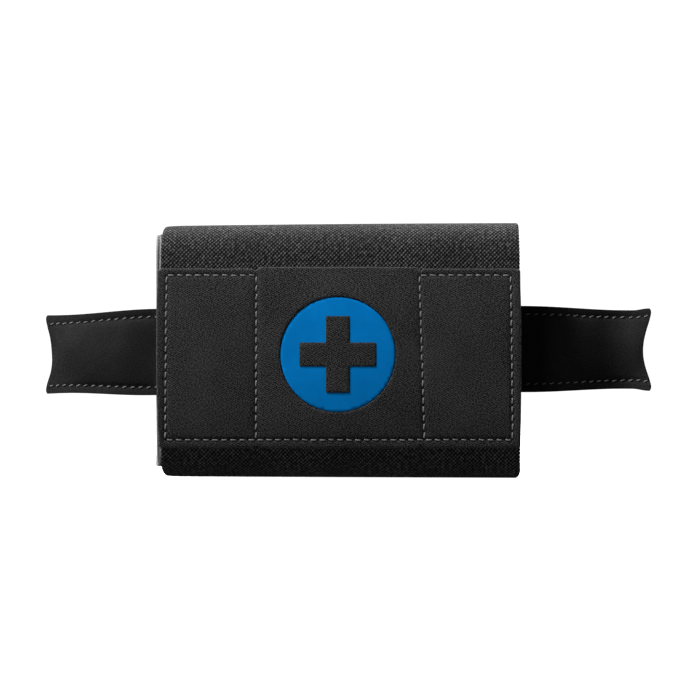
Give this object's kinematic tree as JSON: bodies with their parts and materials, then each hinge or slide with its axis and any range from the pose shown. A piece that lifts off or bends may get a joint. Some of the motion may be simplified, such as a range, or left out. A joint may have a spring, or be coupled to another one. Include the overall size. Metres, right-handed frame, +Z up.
{
  "type": "belt trauma kit with tourniquet",
  "caption": "Elastic belt sleeve with a stitched laminate front, two snap belt loops and a pull-out folded insert that holds a tourniquet, dressings, gloves and a marker.",
  "frame": {"origin": "on the sleeve's flat bottom, halfway between its two open ends and halfway through the sleeve's depth", "axes": "+X along the sleeve to the right as the front is seen, +Y from the front panel to the belt loops, +Z up"},
  "size_m": [0.2527, 0.0592, 0.1056],
  "materials": {
    "woven_elastic": "woven elastic, charcoal",
    "laminate": "matt laminated nylon",
    "emblem_blue": "matt laminated nylon",
    "webbing": "woven nylon webbing",
    "pull_tape": "fine woven tape, folded and stitched",
    "snap_metal": "blackened brass",
    "insert_laminate": "laminated nylon, grey cut edge",
    "tourniquet_strap": "hook and loop strap",
    "tourniquet_plastic": "moulded nylon",
    "time_tag": "plain white tape",
    "gauze_film": "vacuum packed film",
    "dressing_film": "vacuum packed film",
    "seal_film": "foil pouch",
    "glove_nitrile": "matt nitrile",
    "marker_plastic": "moulded plastic"
  },
  "bodies": {
    "sleeve": {"sleeve_elastic": "woven_elastic", "sleeve_back_panel": "laminate", "front_panel": "laminate", "emblem_disc": "emblem_blue", "emblem_cross": "laminate", "left_loop_anchor": "webbing", "right_loop_anchor": "webbing", "left_snap_eyelet": "snap_metal", "right_snap_eyelet": "snap_metal", "left_snap_stud": "snap_metal", "right_snap_stud": "snap_metal"},
    "insert": {"insert_panel": "insert_laminate", "pull_strap": "pull_tape", "front_pocket_elastic": "woven_elastic", "back_pocket_elastic": "woven_elastic", "tourniquet_strap": "tourniquet_strap", "tourniquet_base_plate": "tourniquet_plastic", "tourniquet_windlass": "tourniquet_plastic", "tourniquet_clip": "tourniquet_plastic", "tourniquet_buckle": "tourniquet_plastic", "tourniquet_time_tag": "time_tag", "gauze_pack": "gauze_film", "dressing_pack": "dressing_film", "chest_seal_front": "seal_film", "chest_seal_back": "seal_film", "glove_bundle": "glove_nitrile", "marker_barrel": "marker_plastic", "marker_cap": "marker_plastic"},
    "left_tab": {"left_pull_tab": "pull_tape"},
    "right_tab": {"right_pull_tab": "pull_tape"},
    "left_loop": {"left_belt_loop": "webbing", "left_snap_socket": "snap_metal", "left_snap_cap": "snap_metal"},
    "right_loop": {"right_belt_loop": "webbing", "right_snap_socket": "snap_metal", "right_snap_cap": "snap_metal"}
  },
  "joints": [
    {"name": "insert_slide", "type": "slide", "parent": "sleeve", "child": "insert", "axis": [1, 0, 0], "range_m": [-0.21, 0.205]},
    {"name": "left_tab_bend", "type": "hinge", "parent": "insert", "child": "left_tab", "pos_m": [-0.0773, -0.0018, 0.0517], "axis": [0, 0, 1], "range_deg": [-75, 75], "stiffness_Nm_per_rad": 0.01},
    {"name": "right_tab_bend", "type": "hinge", "parent": "insert", "child": "right_tab", "pos_m": [0.0773, -0.0018, 0.0517], "axis": [0, 0, 1], "range_deg": [-75, 75], "stiffness_Nm_per_rad": 0.01},
    {"name": "left_loop_fold", "type": "hinge", "parent": "sleeve", "child": "left_loop", "pos_m": [-0.038, 0.0264, 0.0847], "axis": [1, 0, 0], "range_deg": [0, 120]},
    {"name": "right_loop_fold", "type": "hinge", "parent": "sleeve", "child": "right_loop", "pos_m": [0.038, 0.0264, 0.0847], "axis": [1, 0, 0], "range_deg": [0, 120]}
  ]
}
